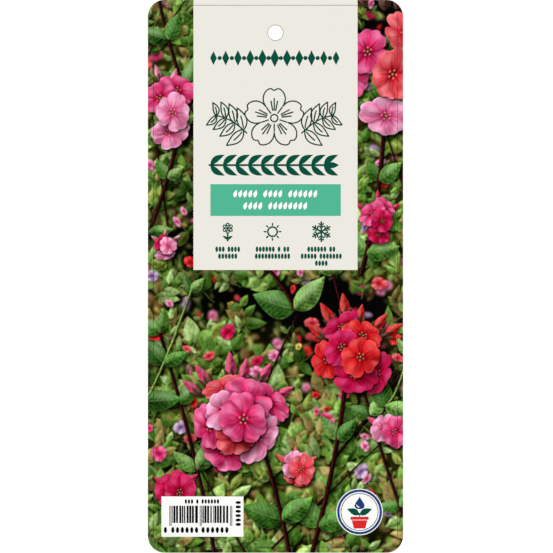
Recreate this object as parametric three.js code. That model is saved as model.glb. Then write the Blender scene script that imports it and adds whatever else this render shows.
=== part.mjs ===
// A tall plant label cut from one flat sheet of white plastic. It has rounded corners and one round
// hole near the top edge, which takes a hook or a tie. The label lies on its back with its printed
// face up: +X is the label's right, +Y its top and +Z the way its face looks. The origin is in the
// middle of the back, on the surface that the label lies on. Lengths are in millimetres.
import * as THREE from 'three';

// Driving dimensions
const CARD_WIDTH = 102;
const CARD_HEIGHT = 221;
const SHEET_THICKNESS = 0.5;
const CORNER_RADIUS = 6.8;
const HOLE_DIAMETER = 6;
const HOLE_BELOW_TOP_EDGE = 13.2;

// Facets: three.js gives every arc of an outline twice this number of straight steps
const ARC_SEGMENTS = 20;

// Finish
const SHEET_COLOUR = 0xecebe2;
const SHEET_ROUGHNESS = 0.45;

// The outline runs anticlockwise from the left end of the bottom edge, with a quarter circle at
// each corner.
function cardOutline(width, height, radius) {
  const right = width / 2;
  const top = height / 2;
  const outline = new THREE.Shape();
  outline.moveTo(-right + radius, -top);
  outline.lineTo(right - radius, -top);
  outline.absarc(right - radius, -top + radius, radius, -Math.PI / 2, 0, false);
  outline.lineTo(right, top - radius);
  outline.absarc(right - radius, top - radius, radius, 0, Math.PI / 2, false);
  outline.lineTo(-right + radius, top);
  outline.absarc(-right + radius, top - radius, radius, Math.PI / 2, Math.PI, false);
  outline.lineTo(-right, -top + radius);
  outline.absarc(-right + radius, -top + radius, radius, Math.PI, 1.5 * Math.PI, false);
  return outline;
}

// The hanging hole is a full circle on the label's centre line.
function hangingHole(diameter, centreHeight) {
  const hole = new THREE.Path();
  hole.absarc(0, centreHeight, diameter / 2, 0, 2 * Math.PI, true);
  return hole;
}

// The sheet is the outline, less the hole, carried straight up by the thickness.
function labelSheet() {
  const outline = cardOutline(CARD_WIDTH, CARD_HEIGHT, CORNER_RADIUS);
  outline.holes.push(hangingHole(HOLE_DIAMETER, CARD_HEIGHT / 2 - HOLE_BELOW_TOP_EDGE));
  const geometry = new THREE.ExtrudeGeometry(outline, {
    depth: SHEET_THICKNESS,
    bevelEnabled: false,
    curveSegments: ARC_SEGMENTS,
  });
  const material = new THREE.MeshStandardMaterial({
    color: SHEET_COLOUR,
    roughness: SHEET_ROUGHNESS,
    metalness: 0,
  });
  const sheet = new THREE.Mesh(geometry, material);
  sheet.name = 'label_sheet';
  return sheet;
}

const plantLabel = new THREE.Group();
plantLabel.add(labelSheet());

export default plantLabel;
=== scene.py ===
"""The looks of a printed plastic plant label, built around its packed sheet.

Sizes are in millimetres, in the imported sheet's own frame: X runs to the label's right, Y to its
top and Z the way its printed face looks. Meshes are made in metres. Colours are written as
they look on a screen and are made linear where a shader or an attribute takes them. Angles are
in degrees where nothing else is said.
"""

import logging
import math
from collections.abc import Iterator, Sequence
from dataclasses import dataclass
from enum import Enum

import bpy
import numpy as np
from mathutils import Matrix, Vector
from mathutils.geometry import tessellate_polygon


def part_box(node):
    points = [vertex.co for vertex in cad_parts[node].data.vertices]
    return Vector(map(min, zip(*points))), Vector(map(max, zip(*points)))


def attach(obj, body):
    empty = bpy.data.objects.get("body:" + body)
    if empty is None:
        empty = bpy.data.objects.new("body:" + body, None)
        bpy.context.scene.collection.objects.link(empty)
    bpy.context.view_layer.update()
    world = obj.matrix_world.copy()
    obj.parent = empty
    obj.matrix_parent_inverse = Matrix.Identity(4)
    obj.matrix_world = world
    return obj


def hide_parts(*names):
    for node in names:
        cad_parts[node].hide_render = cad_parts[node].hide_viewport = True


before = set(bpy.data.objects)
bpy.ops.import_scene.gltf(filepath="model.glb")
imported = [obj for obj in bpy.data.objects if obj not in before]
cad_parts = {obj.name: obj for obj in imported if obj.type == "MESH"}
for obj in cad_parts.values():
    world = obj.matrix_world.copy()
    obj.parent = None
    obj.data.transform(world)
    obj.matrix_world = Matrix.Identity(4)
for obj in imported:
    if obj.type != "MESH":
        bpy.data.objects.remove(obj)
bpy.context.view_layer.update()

log = logging.getLogger("plant_label")

METRES = 0.001
BODY = "root"
SHEET_NODE = "label_sheet"
SHEET_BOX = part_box(SHEET_NODE)

Array = np.ndarray
Colour = Sequence[float]
Point = tuple[float, float]
Tree = bpy.types.ShaderNodeTree
Window = tuple[slice, slice]


def linear(colour: Colour | Array) -> Array:
    """Turn screen colours into linear light.

    Formula: c / 12.92 below 0.04045, and ((c + 0.055) / 1.055) to the power 2.4 above it.

    Args:
        colour: Screen values from 0 to 1, of any shape.

    Returns:
        The same shape in linear light.
    """
    value = np.asarray(colour, dtype=np.float64)
    return np.where(value <= 0.04045, value / 12.92, ((value + 0.055) / 1.055) ** 2.4)


# Flat outlines

END_STEPS = 6
CORNER_STEPS = 24
BLADE_STEPS = 18


@dataclass(frozen=True)
class Shape:
    """A flat outline with any holes, and how far its layer is lifted above its neighbours'."""

    outline: Array
    holes: tuple[Array, ...] = ()
    lift: float = 0.0


def toward(angle: float) -> Array:
    """The unit vector at an angle, (cos a, sin a)."""
    return np.array([math.cos(math.radians(angle)), math.sin(math.radians(angle))])


def arc(centre: Point, radius: float, start: float, stop: float, steps: int) -> Array:
    """Points along a circular arc.

    Formula: centre plus radius times (cos a, sin a), with a in equal steps.

    Args:
        centre: Middle of the circle.
        radius: Its radius.
        start: First angle.
        stop: Last angle.
        steps: Number of steps.

    Returns:
        An array of steps + 1 points.
    """
    a = np.radians(np.linspace(start, stop, steps + 1))
    return np.stack([centre[0] + radius * np.cos(a), centre[1] + radius * np.sin(a)], 1)


def circle(centre: Point, radius: float, steps: int = 48) -> Array:
    """A whole circle, anticlockwise, without its first point repeated."""
    return arc(centre, radius, 0, 360, steps)[:-1]


def disc(centre: Point, radius: float, steps: int = 48, width: float = 0.0) -> Shape:
    """A disc, or a ring where a width inwards from the radius is given."""
    holes = (circle(centre, radius - width, steps),) if width else ()
    return Shape(circle(centre, radius, steps), holes)


def bar(low: Point, high: Point) -> Array:
    """A plain upright rectangle, anticlockwise."""
    return np.array([low, (high[0], low[1]), high, (low[0], high[1])])


def stroke(path: Array, width: float) -> Shape:
    """A pen line with round ends.

    Formula: the path moved to both sides by half the width along its normal, closed by a half
    circle at each end.

    Args:
        path: Points of the line's middle.
        width: Its width.

    Returns:
        The line as a closed shape.
    """
    way = np.gradient(path, axis=0)
    way /= np.linalg.norm(way, axis=1, keepdims=True)
    side = np.stack([-way[:, 1], way[:, 0]], 1) * width / 2
    ends = []
    for point, (x, y) in ((path[-1], way[-1]), (path[0], -way[0])):
        facing = math.degrees(math.atan2(y, x))
        ends.append(arc(point, width / 2, facing - 90, facing + 90, END_STEPS)[1:-1])
    return Shape(np.concatenate([path - side, ends[0], (path + side)[::-1], ends[1]]))


def blade(base: Point, tip: Point, width: float, bow: float) -> tuple[Array, Array, Array]:
    """A leaf with a pointed tip, widest below its middle.

    Formula: across the line from base to tip the half width is width / 2 times the sine of pi
    times t to the power 0.8, and the whole leaf is bowed sideways by bow times 4 t (1 - t).

    Args:
        base: Where the leaf starts.
        tip: Where it ends.
        width: Its greatest width.
        bow: How far its middle is pushed to its left.

    Returns:
        The left edge, the right edge and the midrib, each from base to tip.
    """
    along = np.subtract(tip, base)
    side = np.array([-along[1], along[0]]) / np.linalg.norm(along)
    t = np.linspace(0, 1, BLADE_STEPS + 1)[:, None]
    middle = base + along * t + side * (4 * bow * t * (1 - t))
    half = width / 2 * np.sin(np.pi * t**0.8)
    return middle + side * half, middle - side * half, middle


def solid_blade(base: Point, tip: Point, width: float, bow: float = 0.0) -> Shape:
    """A filled leaf."""
    left, right, _ = blade(base, tip, width, bow)
    return Shape(np.concatenate([right, left[-2:0:-1]]))


# Sizes of the label


@dataclass(frozen=True)
class Card:
    """The die-cut sheet's own sizes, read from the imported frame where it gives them.

    The face is the height of the printed side above the surface that the label lies on.
    """

    width: float = (SHEET_BOX[1].x - SHEET_BOX[0].x) / METRES
    height: float = (SHEET_BOX[1].y - SHEET_BOX[0].y) / METRES
    face: float = (SHEET_BOX[1].z - SHEET_BOX[0].z) / METRES
    corner: float = 6.8
    hole_radius: float = 3.0
    hole_below_top: float = 13.2
    hole_steps: int = 96
    film: float = 0.04

    @property
    def hole_centre(self) -> Point:
        """Middle of the hanging hole."""
        return 0.0, self.height / 2 - self.hole_below_top

    @property
    def hole(self) -> Array:
        """The hanging hole's edge."""
        return circle(self.hole_centre, self.hole_radius, self.hole_steps)

    def outline(self, inset: float = 0.0) -> Array:
        """The cut edge moved inwards, as quarter circles round the four corners' centres.

        Args:
            inset: How far it is moved.

        Returns:
            The outline's points, anticlockwise.
        """
        x, y = self.width / 2 - self.corner, self.height / 2 - self.corner
        turns = (((x, -y), -90), ((x, y), 0), ((-x, y), 90), ((-x, -y), 180))
        radius = self.corner - inset
        return np.concatenate([arc(at, radius, a, a + 90, CORNER_STEPS) for at, a in turns])

    def half_width(self, y: Array) -> Array:
        """Distance from the centre line to the cut edge at each height.

        Formula: half the width, less r - sqrt(r squared - d squared) in the corners, where d is
        how far the height is past the corner's centre.

        Args:
            y: Heights on the card.

        Returns:
            The half width at each height.
        """
        past = np.clip(np.abs(y) - (self.height / 2 - self.corner), 0.0, self.corner)
        return self.width / 2 - self.corner + np.sqrt(self.corner**2 - past**2)

    def row_heights(self, high: float, step: float) -> Array:
        """Heights of grid rows from the bottom edge up, which follow the arcs in the corners.

        Formula: equal steps on the straight edge, and corner centre plus r times the sine of
        equal angles in the corners, so that the cut edge stays round.

        Args:
            high: Highest row.
            step: Largest distance between rows.

        Returns:
            The heights in rising order, with both ends.
        """
        turn = self.height / 2 - self.corner
        count = math.ceil(self.corner * math.pi / 2 / step)
        bend = turn + self.corner * np.sin(np.linspace(0, math.pi / 2, count + 1))
        top = min(high, turn)
        straight = np.linspace(-turn, top, math.ceil((top + turn) / step) + 1)
        rows = np.concatenate([-bend[::-1], straight, bend])
        return np.unique(np.round(rows[rows < high + 1e-9], 6))


@dataclass(frozen=True)
class PanelPlace:
    """Where the cream panel lies on the face."""

    left: float = -32.8
    right: float = 32.8
    bottom: float = 2.5


CARD = Card()
PANEL = PanelPlace()


# Shader nodes and finishes

INK = "ink"
WHITE = (1.0, 1.0, 1.0, 1.0)


def fed(tree: Tree, node: bpy.types.Node, feeds: dict[str | int, object]) -> bpy.types.Node:
    """Give a node's inputs their values and links.

    Args:
        tree: The node's tree.
        node: The node.
        feeds: A value, or another node's output, for each input by its name or number.

    Returns:
        The same node.
    """
    for key, feed in feeds.items():
        if isinstance(feed, bpy.types.NodeSocket):
            tree.links.new(feed, node.inputs[key])
        else:
            node.inputs[key].default_value = feed
    return node


def add_node(
    tree: Tree, kind: str, feeds: dict[str | int, object], **settings: object
) -> bpy.types.Node:
    """Add a shader node to a tree.

    Args:
        tree: The tree.
        kind: The node's kind.
        feeds: A value, or another node's output, for each input by its name or number.
        **settings: The node's own settings, which are made first.

    Returns:
        The new node.
    """
    node = tree.nodes.new(f"ShaderNode{kind}")
    for name, value in settings.items():
        setattr(node, name, value)
    return fed(tree, node, feeds)


class FinishGroups:
    """The shader node groups that several finishes share, each built once."""

    def __init__(self) -> None:
        """Build all three groups."""
        self.mottle = self._mottle()
        self.skin = self._skin()
        self.handling = self._handling()

    @staticmethod
    def _group(
        name: str, inputs: dict[str, object], output: str, kind: str
    ) -> tuple[Tree, bpy.types.NodeOutputs, bpy.types.Node]:
        """Start a node group with named sockets.

        Args:
            name: Name of the group.
            inputs: Default value for each input name: a number, or a colour of four.
            output: Name of the one output.
            kind: What it carries.

        Returns:
            The tree, what comes in, and the node that takes what goes out.
        """
        tree = bpy.data.node_groups.new(name, "ShaderNodeTree")
        for label, value in inputs.items():
            carries = "Color" if isinstance(value, tuple) else "Float"
            socket = tree.interface.new_socket(
                label, in_out="INPUT", socket_type=f"NodeSocket{carries}"
            )
            socket.default_value = value
        tree.interface.new_socket(output, in_out="OUTPUT", socket_type=f"NodeSocket{kind}")
        return tree, tree.nodes.new("NodeGroupInput").outputs, tree.nodes.new("NodeGroupOutput")

    @staticmethod
    def _noise(tree: Tree, scale: bpy.types.NodeSocket, detail: float) -> bpy.types.NodeSocket:
        """A noise value that reads object coordinates.

        Args:
            tree: The tree that takes it.
            scale: Where its scale comes from.
            detail: Octaves of the noise.

        Returns:
            The noise node's output.
        """
        place = add_node(tree, "TexCoord", {}).outputs["Object"]
        feeds = {"Vector": place, "Scale": scale, "Detail": detail}
        return add_node(tree, "TexNoise", feeds).outputs["Fac"]

    def _mottle(self) -> Tree:
        """Uneven ink: the colour times 1 plus or minus a share of soft noise and fine grain.

        Returns:
            The group's tree.
        """
        inputs = {
            "Colour": (0.5, 0.5, 0.5, 1.0),
            "Depth": 0.05,
            "Cloud Scale": 60.0,
            "Grain Scale": 4000.0,
        }
        tree, given, out = self._group("ink mottle", inputs, "Colour", "Color")
        cloud = self._noise(tree, given["Cloud Scale"], 3.0)
        grain = self._noise(tree, given["Grain Scale"], 0.0)
        both = add_node(tree, "Math", {0: cloud, 1: grain}, operation="ADD")
        centred = add_node(tree, "Math", {0: both.outputs[0], 1: 1.0}, operation="SUBTRACT")
        feeds = {0: centred.outputs[0], 1: given["Depth"], 2: 1.0}
        gain = add_node(tree, "Math", feeds, operation="MULTIPLY_ADD")
        feeds = {0: given["Colour"], "Scale": gain.outputs[0]}
        scaled = add_node(tree, "VectorMath", feeds, operation="SCALE")
        fed(tree, out, {"Colour": scaled.outputs[0]})
        return tree

    def _skin(self) -> Tree:
        """Varnish skin: a bump from long ripples of soft noise.

        Returns:
            The group's tree.
        """
        inputs = {"Height": 0.00001, "Scale": 400.0}
        tree, given, out = self._group("varnish skin", inputs, "Normal", "Vector")
        ripple = self._noise(tree, given["Scale"], 2.0)
        feeds = {"Strength": 1.0, "Distance": given["Height"], "Height": ripple}
        fed(tree, out, {"Normal": add_node(tree, "Bump", feeds).outputs["Normal"]})
        return tree

    def _handling(self) -> Tree:
        """Handling marks: roughness that rises where soft noise is high, as under faint smears.

        Returns:
            The group's tree.
        """
        inputs = {"Clean": 0.35, "Smeared": 0.45, "Scale": 30.0}
        tree, given, out = self._group("handling marks", inputs, "Roughness", "Float")
        feeds = {
            "Value": self._noise(tree, given["Scale"], 4.0),
            "From Min": 0.35,
            "From Max": 0.7,
            "To Min": given["Clean"],
            "To Max": given["Smeared"],
        }
        fed(tree, out, {"Roughness": add_node(tree, "MapRange", feeds).outputs["Result"]})
        return tree


@dataclass(frozen=True)
class Finish:
    """One printed or bare surface of the label.

    Without a colour the surface takes its colours from the ink attribute of its mesh.
    """

    name: str
    colour: Colour | None
    clean: float = 0.19
    smeared: float = 0.26
    mottle: float = 0.04
    cloud_scale: float = 60.0
    grain_scale: float = 4000.0
    ripple: float = 0.000006
    ripple_scale: float = 350.0
    specular: float = 0.15

    def material(self, groups: FinishGroups) -> bpy.types.Material:
        """Build the material.

        Args:
            groups: The shared node groups.

        Returns:
            The new material.
        """
        made = bpy.data.materials.new(self.name)
        made.use_nodes = True
        tree = made.node_tree
        if self.colour is None:
            source = add_node(tree, "Attribute", {}, attribute_name=INK).outputs["Color"]
        else:
            source = (*linear(self.colour), 1.0)
        feeds = {
            "Colour": source,
            "Depth": self.mottle,
            "Cloud Scale": self.cloud_scale,
            "Grain Scale": self.grain_scale,
        }
        ink = add_node(tree, "Group", feeds, node_tree=groups.mottle)
        feeds = {"Clean": self.clean, "Smeared": self.smeared}
        marks = add_node(tree, "Group", feeds, node_tree=groups.handling)
        feeds = {"Height": self.ripple, "Scale": self.ripple_scale}
        skin = add_node(tree, "Group", feeds, node_tree=groups.skin)
        feeds = {
            "Base Color": ink.outputs["Colour"],
            "Roughness": marks.outputs["Roughness"],
            "Normal": skin.outputs["Normal"],
            "Specular IOR Level": self.specular,
        }
        fed(tree, tree.nodes["Principled BSDF"], feeds)
        return made


class Ink(Enum):
    """The finishes of the label."""

    CORE = Finish("white sheet", (0.93, 0.93, 0.915), 0.38, 0.5, 0.02, 40.0, 2500.0, 0.00001)
    PICTURE = Finish("picture ink", None, mottle=0.05)
    CREAM = Finish("cream ink", (0.915, 0.905, 0.87), mottle=0.012)
    DEEP_GREEN = Finish("deep green ink", (0.02, 0.305, 0.235))
    LINE_GREEN = Finish("line green ink", (0.07, 0.24, 0.18))
    MINT = Finish("mint ink", (0.315, 0.71, 0.575))
    WHITE = Finish("white ink", (0.975, 0.975, 0.965), mottle=0.01)
    BLACK = Finish("black ink", (0.03, 0.03, 0.035))
    NAVY = Finish("navy ink", (0.13, 0.24, 0.45))
    RED = Finish("red ink", (0.85, 0.16, 0.17))
    HAIRLINE = Finish("hairline ink", (0.14, 0.19, 0.13))

    @property
    def made(self) -> bpy.types.Material:
        """The material, built when it is first asked for."""
        return bpy.data.materials.get(self.value.name) or self.value.material(GROUPS)


GROUPS = FinishGroups()


# Meshes


def anticlockwise(loop: Array) -> Array:
    """Turn a loop so that it runs anticlockwise, by the sign of the area that it encloses.

    Args:
        loop: The closed loop.

    Returns:
        The same points, in turned order where they ran clockwise.
    """
    x, y = loop.T
    area = np.sum(x * np.roll(y, -1) - np.roll(x, -1) * y)
    return loop if area > 0 else loop[::-1]


def moved_left(loop: Array, distance: float) -> Array:
    """A closed loop moved to the left of its own direction by a fixed distance.

    Formula: each point moves along the mean of its two edges' left normals, by the distance
    over the cosine of half the turn there.

    Args:
        loop: The closed loop.
        distance: How far to move it.

    Returns:
        The moved loop.
    """
    if not distance:
        return loop
    edge = np.roll(loop, -1, axis=0) - loop
    edge /= np.linalg.norm(edge, axis=1, keepdims=True)
    left = np.stack([-edge[:, 1], edge[:, 0]], 1)
    mean = left + np.roll(left, 1, axis=0)
    mean /= np.linalg.norm(mean, axis=1, keepdims=True)
    cosine = np.clip(np.sum(mean * left, axis=1, keepdims=True), 0.5, 1.0)
    return loop + mean * distance / cosine


def linked(name: str, data: bpy.types.ID) -> bpy.types.Object:
    """Put a new object into the scene, at the origin.

    Args:
        name: Name of the object.
        data: Its mesh, light or camera.

    Returns:
        The object.
    """
    made = bpy.data.objects.new(name, data)
    bpy.context.scene.collection.objects.link(made)
    return made


def dressed(mesh: bpy.types.Mesh, ink: Ink) -> bpy.types.Object:
    """Make a mesh a piece, with its finish and its body.

    Args:
        mesh: The finished mesh, in metres and in its place.
        ink: Its finish.

    Returns:
        The piece.
    """
    piece = linked(mesh.name, mesh)
    mesh.materials.append(ink.made)
    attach(piece, BODY)
    log.info("%s: %d faces", piece.name, len(mesh.polygons))
    return piece


class LayerMesh:
    """Closed flat layers gathered into one mesh."""

    smallest_face = 1e-9

    def __init__(self) -> None:
        """Start with no vertices and no faces."""
        self.vertices: list[Array] = []
        self.faces: list[list[int]] = []
        self.count = 0

    def add(self, shape: Shape, low: float, high: float, rim: float = 0.0) -> None:
        """Add one closed layer.

        Formula: every loop is carried through a wall profile of (inset, height) pairs, with a
        45 degree rim of the given size at both ends, and the two ends are filled with triangles.

        Args:
            shape: The flat outline and its holes.
            low: Height of the underside.
            high: Height of the top.
            rim: Size of the broken edge.
        """
        high += shape.lift
        profile = [(0.0, low), (0.0, high)]
        if rim:
            profile = [(rim, low), (0.0, low + rim), (0.0, high - rim), (rim, high)]
        loops = [anticlockwise(shape.outline)]
        loops += [anticlockwise(hole)[::-1] for hole in shape.holes]
        for inset, z in profile:
            flat = np.concatenate([moved_left(loop, inset) for loop in loops])
            self.vertices.append(np.column_stack([flat, np.full(len(flat), z)]))
        size, to_top = len(flat), len(flat) * (len(profile) - 1)
        start = self.count
        for loop in loops:
            here = start + np.arange(len(loop))
            after = np.roll(here, -1)
            start += len(loop)
            for up in range(0, to_top, size):
                above = up + size
                quads = np.stack([here + up, after + up, after + above, here + above], 1)
                self.faces += quads.tolist()
        self._caps([moved_left(loop, profile[0][0]) for loop in loops], to_top)
        self.count += size * len(profile)

    def _caps(self, rings: list[Array], to_top: int) -> None:
        """Fill both ends of the layer just added.

        Args:
            rings: The loops at its ends.
            to_top: Vertices between the lowest and the highest ring.
        """
        points = [[Vector((x, y, 0.0)) for x, y in ring] for ring in rings]
        triangles = np.array(tessellate_polygon(points))
        a, b, c = np.concatenate(rings)[triangles.T]
        area = (b - a)[:, 0] * (c - a)[:, 1] - (b - a)[:, 1] * (c - a)[:, 0]
        triangles[area < 0] = triangles[area < 0][:, ::-1]
        triangles = triangles[np.abs(area) > self.smallest_face]
        self.faces += (triangles + self.count + to_top).tolist()
        self.faces += (triangles[:, ::-1] + self.count).tolist()

    def make(self, name: str, ink: Ink) -> bpy.types.Object:
        """Turn what was gathered into a dressed piece.

        Args:
            name: Name of the piece.
            ink: Its finish.

        Returns:
            The piece.
        """
        mesh = bpy.data.meshes.new(name)
        mesh.from_pydata(np.concatenate(self.vertices) * METRES, [], self.faces)
        mesh.validate()
        return dressed(mesh, ink)


# The painted picture

LIGHT = math.radians(125)
GOLDEN_TURN = 137.5
PALE_GREEN = (0.66, 0.74, 0.43)
LEAF_SHINE = (0.70, 0.79, 0.60)
STAMENS = (0.97, 0.88, 0.72)
EYE_GREEN = (0.72, 0.80, 0.45)
DARK_CALYX = (0.26, 0.13, 0.14)
BARK = (0.15, 0.07, 0.08)
GREEN_STEM = (0.34, 0.40, 0.19)


def eased(value: Array, low: float, high: float) -> Array:
    """A smooth step from 0 to 1.

    Formula: s = (value - low) / (high - low) held between 0 and 1, then s s (3 - 2 s).

    Args:
        value: Where to read the step.
        low: Where it starts.
        high: Where it ends.

    Returns:
        The step's values.
    """
    s = np.clip((value - low) / (high - low), 0.0, 1.0)
    return s * s * (3.0 - 2.0 * s)


def bell(value: Array, width: float) -> Array:
    """A bell curve, exp(-(value / width) squared)."""
    return np.exp(-np.square(value / width))


def tint(colour: Colour) -> Array:
    """A named colour as single-precision numbers."""
    return np.array(colour, np.float32)


def blended(first: Array, second: Colour, share: Array) -> Array:
    """Two colours mixed by a share that varies over the surface."""
    return first + (tint(second) - first) * np.asarray(share)[..., None]


def covered(gap: Array, soft: float) -> Array:
    """How much of each pixel lies inside a soft edge, by its distance inwards from it."""
    return np.clip(gap / soft + 0.5, 0, 1)


def turned(x: Array, y: Array, turn: float) -> tuple[Array, Array]:
    """Places read along a heading in radians and to its left."""
    along = x * math.cos(turn) + y * math.sin(turn)
    return along, y * math.cos(turn) - x * math.sin(turn)


def blurred(image: Array, spread: float) -> Array:
    """An image after a Gaussian blur.

    Formula: the image, padded with its mirror image, times a Gaussian in its spectrum.

    Args:
        image: Rows by columns by channels.
        spread: Standard deviation in pixels.

    Returns:
        The blurred image.
    """
    pad = math.ceil(3 * spread)
    wide = np.pad(image, ((pad, pad), (pad, pad), (0, 0)), mode="reflect")
    rows = np.fft.fftfreq(wide.shape[0])[:, None, None]
    columns = np.fft.rfftfreq(wide.shape[1])[None, :, None]
    fall = np.exp(-2 * (np.pi * spread) ** 2 * (rows**2 + columns**2))
    spectrum = np.fft.rfft2(wide, axes=(0, 1)) * fall
    soft = np.fft.irfft2(spectrum, s=wide.shape[:2], axes=(0, 1))
    return soft[pad:-pad, pad:-pad].astype(np.float32)


class Grain:
    """Smooth noise on a square that repeats, read at any place and feature size."""

    side = 256
    smooth = 5.0

    def __init__(self, seed: int) -> None:
        """Make the square.

        Formula: white noise times a Gaussian in its spectrum, scaled to unit spread.

        Args:
            seed: Seed of the noise.
        """
        white = np.random.default_rng(seed).standard_normal((self.side, self.side))
        wave = np.fft.fftfreq(self.side)
        fall = np.exp(-2 * (np.pi * self.smooth * wave) ** 2)
        soft = np.fft.ifft2(np.fft.fft2(white) * fall[:, None] * fall[None, :]).real
        self.square = (soft / soft.std()).astype(np.float32)

    def at(self, a: Array, b: Array, size: float) -> Array:
        """Noise at places.

        Args:
            a: First coordinate.
            b: Second coordinate.
            size: Rough size of a spot of noise, in the coordinates' units.

        Returns:
            Values with mean 0 and unit spread.
        """
        scale = 2 * self.smooth / size
        i = np.floor(a * scale).astype(np.int32) & (self.side - 1)
        j = np.floor(b * scale).astype(np.int32) & (self.side - 1)
        return self.square[i, j]


class Canvas:
    """The picture's colours on a fine grid over the whole card, bottom row first.

    It also holds the noise and the seeded chance values that all painting draws on.
    """

    def __init__(self, pixel: float, grain_seed: int, chance_seed: int) -> None:
        """Start with black.

        Args:
            pixel: Size of a pixel.
            grain_seed: Seed of the noise.
            chance_seed: Seed of the chance values.
        """
        self.pixel = pixel
        self.grain = Grain(grain_seed)
        self.chance = np.random.default_rng(chance_seed)
        self.left, self.bottom = -CARD.width / 2, -CARD.height / 2
        shape = round(CARD.height / pixel), round(CARD.width / pixel)
        self.colour = np.zeros((*shape, 3), np.float32)
        self.x = self.left + (np.arange(shape[1], dtype=np.float32) + 0.5) * pixel
        self.y = self.bottom + (np.arange(shape[0], dtype=np.float32) + 0.5) * pixel

    def window(self, x: float, y: float, reach: float) -> Window | None:
        """The pixels within a square, or None where the card's panel or edge hides them all.

        Args:
            x: Middle of the square across.
            y: Middle of the square up.
            reach: Half its side.

        Returns:
            Row and column slices.
        """
        ends = np.array([(y - reach, y + reach), (x - reach, x + reach)])
        pixels = (ends - [[self.bottom], [self.left]]) / self.pixel
        most = np.array(self.colour.shape[:2])[:, None]
        rows, columns = np.clip(pixels, 0, most).astype(int)
        hidden = y - reach > PANEL.bottom and x - reach > PANEL.left and x + reach < PANEL.right
        if hidden or rows[0] >= rows[1] or columns[0] >= columns[1]:
            return None
        return slice(*rows), slice(*columns)

    def places(self, window: Window) -> tuple[Array, Array]:
        """Coordinates of a window's pixels, across and up."""
        return np.meshgrid(self.x[window[1]], self.y[window[0]])

    def cover(self, window: Window, colour: Array, share: Array) -> None:
        """Lay colour over a window, by a share for each pixel."""
        part = self.colour[window]
        part += (colour - part) * share[..., None]

    def darken(self, window: Window, share: Array) -> None:
        """Shade a window, and its reds and blues a little more than its greens."""
        self.colour[window] *= 1 - share[..., None] * tint((1.0, 0.94, 1.0))

    def soften(self, radius: float) -> None:
        """Put all that is painted so far out of focus, by a blur of this spread."""
        self.colour = blurred(self.colour, radius / self.pixel)

    def at(self, x: Array, y: Array) -> Array:
        """Screen colours at places on the card.

        Formula: between the four nearest pixels' middles, in proportion.

        Args:
            x: Places across.
            y: Places up.

        Returns:
            One colour for each place, in a last axis of three.
        """
        most = np.array(self.colour.shape[:2]) - 1.001
        rows = np.clip((y - self.bottom) / self.pixel - 0.5, 0, most[0])
        columns = np.clip((x - self.left) / self.pixel - 0.5, 0, most[1])
        i, j = rows.astype(int), columns.astype(int)
        up, right = (rows - i)[..., None], (columns - j)[..., None]
        low, high = (
            self.colour[k, j] * (1 - right) + self.colour[k, j + 1] * right for k in (i, i + 1)
        )
        return low * (1 - up) + high * up


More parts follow.
